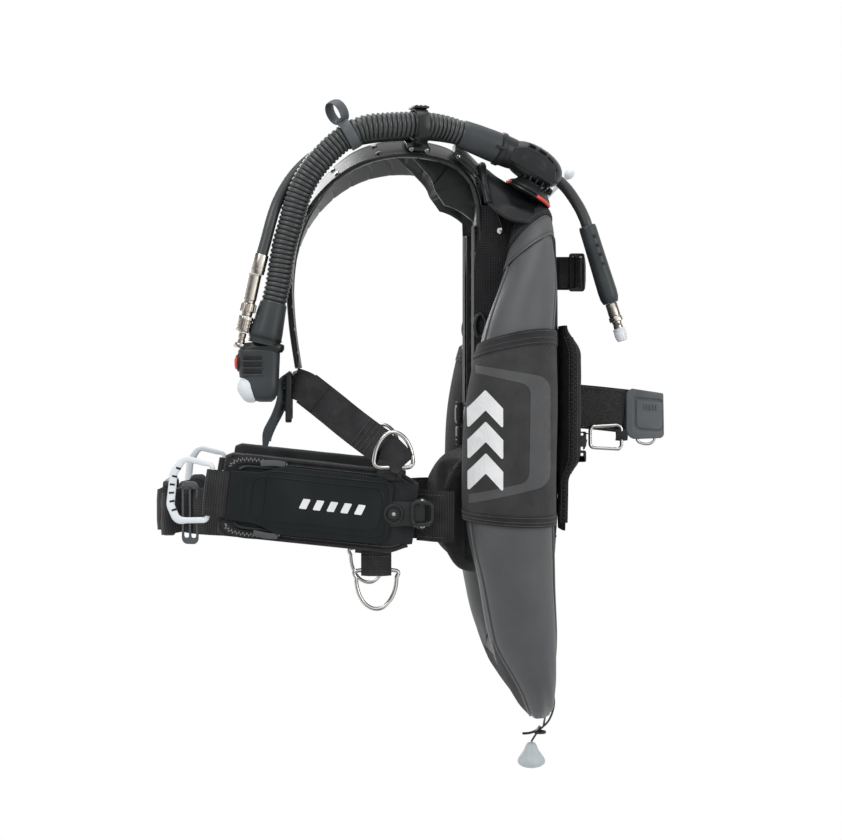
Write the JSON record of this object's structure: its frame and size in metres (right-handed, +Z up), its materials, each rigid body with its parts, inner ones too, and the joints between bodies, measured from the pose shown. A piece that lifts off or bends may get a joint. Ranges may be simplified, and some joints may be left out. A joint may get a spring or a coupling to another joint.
{
  "type": "buoyancy compensator vest",
  "caption": "Back-mounted diving buoyancy vest: ring-shaped air cell on a plate with shoulder straps, belt, pull-out weight pockets, tank band and corrugated inflator hose.",
  "frame": {"origin": "centre of the flat seat on which the tank lies, at the back of the vest", "axes": "+Z up, -Y the way the wearer faces, +X the wearer's left"},
  "size_m": [0.4024, 0.5721, 0.7493],
  "materials": {
    "coated_fabric": "smooth coated cloth",
    "black_fabric": "woven, matt",
    "webbing": "woven webbing",
    "foam": "ribbed pad",
    "elastomer": "smooth moulded, satin",
    "black_plastic": "moulded, satin",
    "grey_plastic": "moulded, matt",
    "pale_plastic": "moulded, satin",
    "red_plastic": "moulded, gloss",
    "hose_rubber": "smooth, satin",
    "clear_cap": "translucent, soft",
    "stainless": "polished"
  },
  "bodies": {
    "harness": {"air_cell": "coated_fabric", "back_pad": "foam", "backplate": "black_plastic", "band_grip": "grey_plastic", "carry_handle": "webbing", "corrugated_hose": "hose_rubber", "dump_valve_body": "black_plastic", "elbow_base": "black_plastic", "elbow_housing": "black_plastic", "hose_clip": "black_plastic", "hose_cuff_lower": "grey_plastic", "hose_cuff_upper": "grey_plastic", "hose_ring_strap": "black_plastic", "hose_sleeve": "grey_plastic", "inflator_body": "black_plastic", "lumbar_pad": "foam", "pocket_holster_left": "black_fabric", "pocket_holster_right": "black_fabric", "quick_connect_nipple": "stainless", "quick_connect_socket": "stainless", "rear_bolster_left": "black_fabric", "rear_bolster_right": "black_fabric", "shoulder_buckle_left": "black_plastic", "shoulder_buckle_right": "black_plastic", "shoulder_dump_valve": "black_plastic", "shoulder_strap_left": "elastomer", "shoulder_strap_right": "elastomer", "shoulder_webbing_left": "webbing", "shoulder_webbing_right": "webbing", "supply_fitting": "stainless", "supply_hose": "hose_rubber", "tank_band": "webbing", "tank_seat": "elastomer", "upper_d_ring_left": "stainless", "upper_d_ring_right": "stainless", "upper_tank_strap": "webbing", "waist_belt_left": "webbing", "waist_belt_right": "webbing", "waist_buckle_socket": "black_plastic", "wing_panel_left": "black_fabric", "wing_panel_right": "black_fabric"},
    "inflate_button": {"inflate_button": "red_plastic"},
    "deflate_button": {"deflate_button": "pale_plastic"},
    "connector_sleeve": {"quick_connect_sleeve": "stainless"},
    "hose_cap": {"dust_cap": "clear_cap"},
    "pouch_left": {"weight_pouch_left": "black_fabric", "pouch_flap_left": "elastomer"},
    "pouch_right": {"weight_pouch_right": "black_fabric", "pouch_flap_right": "elastomer"},
    "handle_left": {"pull_handle_left": "pale_plastic"},
    "handle_right": {"pull_handle_right": "pale_plastic"},
    "lower_ring_left": {"lower_d_ring_left": "stainless"},
    "lower_ring_right": {"lower_d_ring_right": "stainless"},
    "loop_left": {"accessory_loop_left": "black_plastic"},
    "loop_right": {"accessory_loop_right": "black_plastic"},
    "band_cinch": {"band_buckle": "stainless"},
    "dump_pull": {"dump_pull_cord": "hose_rubber", "dump_knob": "pale_plastic"},
    "shoulder_dump_pull": {"shoulder_dump_knob": "pale_plastic"},
    "waist_plug": {"waist_buckle_plug": "black_plastic"}
  },
  "joints": [
    {"name": "inflate_press", "type": "slide", "parent": "harness", "child": "inflate_button", "axis": [0, 1, 0], "range_m": [0, 0.003], "stiffness_N_per_m": 500},
    {"name": "deflate_press", "type": "slide", "parent": "harness", "child": "deflate_button", "axis": [0, 0.8192, 0.5735], "range_m": [0, 0.005], "stiffness_N_per_m": 400},
    {"name": "connector_pull", "type": "slide", "parent": "harness", "child": "connector_sleeve", "axis": [0, 0.2099, 0.9777], "range_m": [0, 0.004], "stiffness_N_per_m": 500},
    {"name": "cap_pull", "type": "slide", "parent": "harness", "child": "hose_cap", "axis": [0.0434, 0.293, -0.9551], "range_m": [0, 0.025]},
    {"name": "pouch_release_left", "type": "slide", "parent": "harness", "child": "pouch_left", "axis": [0, -0.9942, 0.108], "range_m": [0, 0.15]},
    {"name": "handle_swing_left", "type": "hinge", "parent": "pouch_left", "child": "handle_left", "pos_m": [0.164, -0.3993, -0.08515], "axis": [0, 0.108, 0.9942], "range_deg": [-20, 60]},
    {"name": "lower_ring_swing_left", "type": "hinge", "parent": "harness", "child": "lower_ring_left", "pos_m": [0.151, -0.219, -0.172], "axis": [0, -1, 0], "range_deg": [-70, 70]},
    {"name": "loop_swing_left", "type": "hinge", "parent": "harness", "child": "loop_left", "pos_m": [0.178, -0.181, -0.108], "axis": [0, 0, -1], "range_deg": [0, 150]},
    {"name": "pouch_release_right", "type": "slide", "parent": "harness", "child": "pouch_right", "axis": [0, -0.9942, 0.108], "range_m": [0, 0.15]},
    {"name": "handle_swing_right", "type": "hinge", "parent": "pouch_right", "child": "handle_right", "pos_m": [-0.164, -0.3993, -0.08515], "axis": [0, -0.108, -0.9942], "range_deg": [-20, 60]},
    {"name": "lower_ring_swing_right", "type": "hinge", "parent": "harness", "child": "lower_ring_right", "pos_m": [-0.151, -0.219, -0.172], "axis": [0, 1, 0], "range_deg": [-70, 70]},
    {"name": "loop_swing_right", "type": "hinge", "parent": "harness", "child": "loop_right", "pos_m": [-0.178, -0.181, -0.108], "axis": [0, 0, 1], "range_deg": [0, 150]},
    {"name": "cinch_swing", "type": "hinge", "parent": "harness", "child": "band_cinch", "pos_m": [0.06, 0.064, -0.029], "axis": [0, 0, 1], "range_deg": [0, 90]},
    {"name": "dump_pull_down", "type": "slide", "parent": "harness", "child": "dump_pull", "axis": [0, 0, -1], "range_m": [0, 0.012], "stiffness_N_per_m": 250},
    {"name": "shoulder_dump_pull_out", "type": "slide", "parent": "harness", "child": "shoulder_dump_pull", "axis": [0, 0.6909, 0.723], "range_m": [0, 0.012], "stiffness_N_per_m": 250},
    {"name": "waist_plug_out", "type": "slide", "parent": "harness", "child": "waist_plug", "axis": [1, 0, 0], "range_m": [0, 0.028]}
  ]
}
